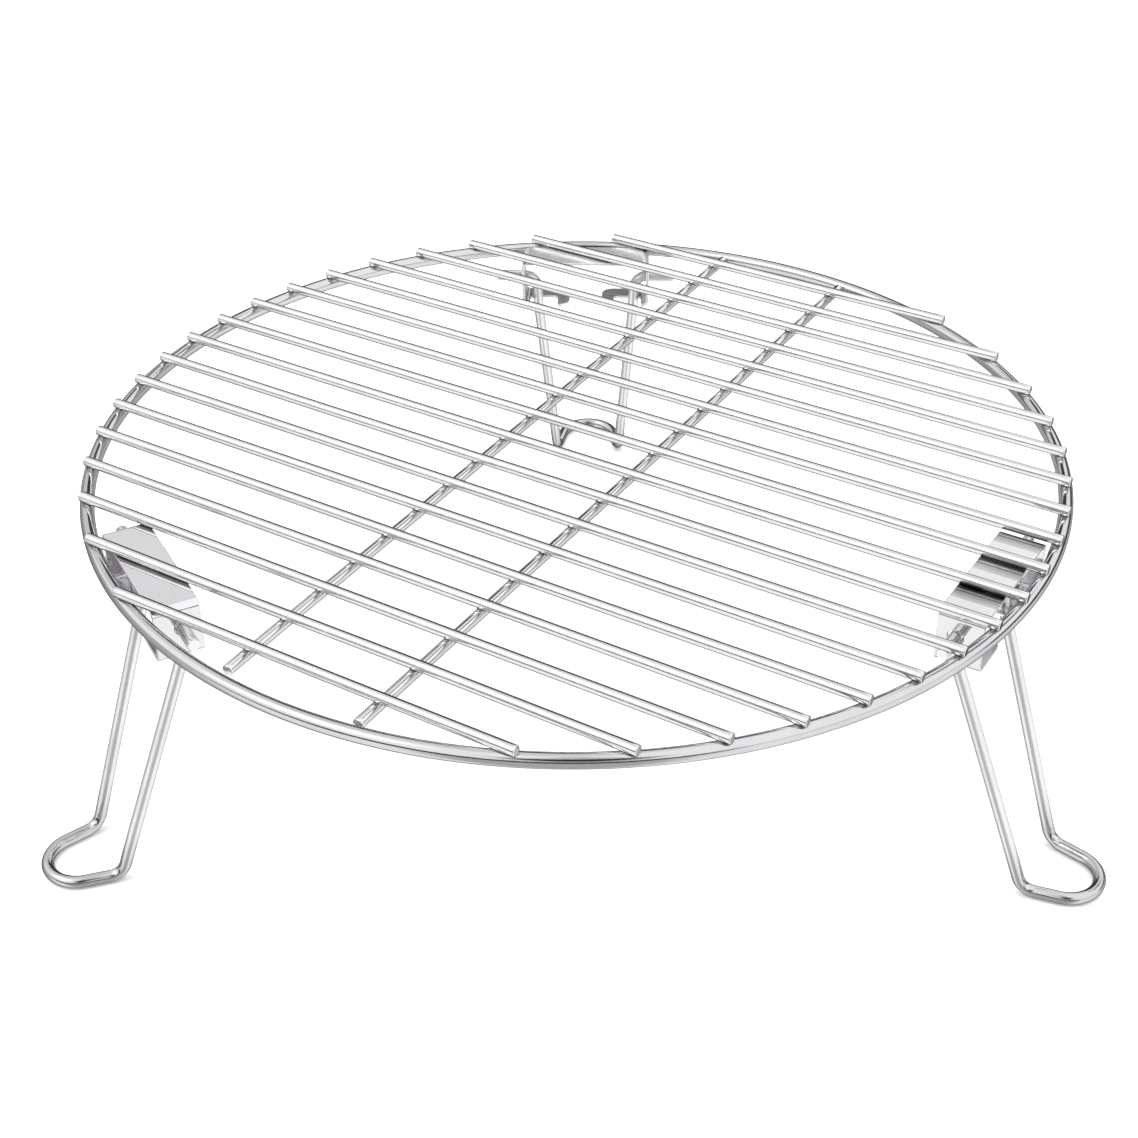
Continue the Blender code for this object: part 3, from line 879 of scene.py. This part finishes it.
where = sky_nodes.new("ShaderNodeTexCoord").outputs["Generated"]
level = sky_vector("NORMALIZE", sky_vector("MULTIPLY", where, (1, 1, 0)))
height = sky_vector("DOT_PRODUCT", where, (0, 0, 1))
gap = sky_range(sky_math("ABSOLUTE", sky_vector("DOT_PRODUCT", level, LENS_SIDE)), 0.10, 0.34, 0.50, 0.0)
gap = sky_math("MULTIPLY", gap, toward(level, (0.53, -0.85, 0), -0.1, 0.3, 0.0, 1.0))
dim = toward(level, (-0.75, 0.66, 0), 0.78, 0.94, 1.0, 0.74)
bright = sky_math("SUBTRACT", dim, gap)
behind = toward(level, (-0.53, 0.848, 0), 0.958, 0.990, 0.0, 0.36)
beside = toward(level, (1, 0, 0), 0.5, 0.9, 0.27, 0.22)
brim = sky_math("SUBTRACT", height, sky_math("ADD", behind, beside))
low_sky = toward(level, (-0.98, -0.2, 0), 0.45, 0.9, 0.05, 0.50)
low_sky = sky_math("ADD", low_sky, toward(level, (0.999, 0.035, 0), 0.82, 0.92, 0.0, 0.70))
lift = sky_math("MULTIPLY", sky_range(brim, -0.04, 0.05, 0.0, 1.0), sky_math("SUBTRACT", bright, low_sky))
above = sky_math("ADD", low_sky, lift)
ground = toward(level, (-0.53, 0.85, 0), -0.1, 0.8, 0.94, 0.55)
ground = sky_math("MULTIPLY", ground, toward(level, (0.45, -0.89, 0), 0.80, 0.97, 1.0, 0.48))
ground = sky_math("MULTIPLY", ground, toward(level, (-0.98, -0.2, 0), 0.78, 0.96, 1.0, 0.55))
drop = sky_math("MULTIPLY", sky_range(height, -0.06, 0.0, 1.0, 0.0), sky_math("SUBTRACT", ground, above))
value = sky_math("ADD", above, drop)
value = sky_math("MULTIPLY", value, toward(where, DARK_PATCH, 0.955, 0.985, 1.0, 0.05))
value = sky_math("MULTIPLY", value, toward(where, BACK_PATCH, 0.981, 0.993, 1.0, 0.22))
gather = sky_nodes.new("ShaderNodeCombineColor")
for channel in gather.inputs:
    sky_links.new(value, channel)
sky_links.new(gather.outputs[0], sky.inputs["Color"])
sky.inputs["Strength"].default_value = 1.30

fill_light = bpy.data.lights.new("fill", "AREA")
fill_light.size = 4.0
fill_light.energy = 100.0
fill = bpy.data.objects.new("fill", fill_light)
fill.location = (0.0, 0.0, 3.2)
fill.visible_glossy = False
bpy.context.scene.collection.objects.link(fill)

softbox_light = bpy.data.lights.new("softbox", "AREA")
softbox_light.shape = "RECTANGLE"
softbox_light.size = 1.4
softbox_light.size_y = 0.9
softbox_light.energy = 14.0
softbox = bpy.data.objects.new("softbox", softbox_light)
softbox.location = (-1.1, -1.2, 2.1)
softbox.rotation_mode = "QUATERNION"
softbox.rotation_quaternion = (CENTRE - softbox.location).to_track_quat("-Z", "Y")
bpy.context.scene.collection.objects.link(softbox)

scene = bpy.context.scene
scene.view_settings.view_transform = "Standard"
scene.view_settings.look = "None"

# --- Camera ---------------------------------------------------------------------------------------
PHOTO_SIZE = 1138.0                      # the photo's width and the fitted lens, in its pixels
FOCAL_LENGTH = 1901.4476
SIGHT_X = 563.1555
EYE_UNIT = 0.175
EYE = Vector((-0.02549638, -0.24724640, 3.96968479)) * EYE_UNIT    # right, up and back from the hoop's centre
RIGHT = Vector((0.84891839, 0.52844486, -0.00914334))
UP = Vector((-0.29196425, 0.48330512, 0.82533208))
BACK = RIGHT.cross(UP)
lens = bpy.data.cameras.new("camera")
lens.sensor_width = 36.0
lens.lens = FOCAL_LENGTH / PHOTO_SIZE * lens.sensor_width
lens.shift_x = (PHOTO_SIZE / 2 - SIGHT_X) / PHOTO_SIZE
lens.clip_start = 0.01
lens.clip_end = 50
camera = bpy.data.objects.new("camera", lens)
scene.collection.objects.link(camera)
axes = Matrix((RIGHT, UP, BACK)).transposed()
camera.matrix_world = Matrix.Translation(CENTRE + axes @ EYE) @ axes.to_4x4()
scene.camera = camera
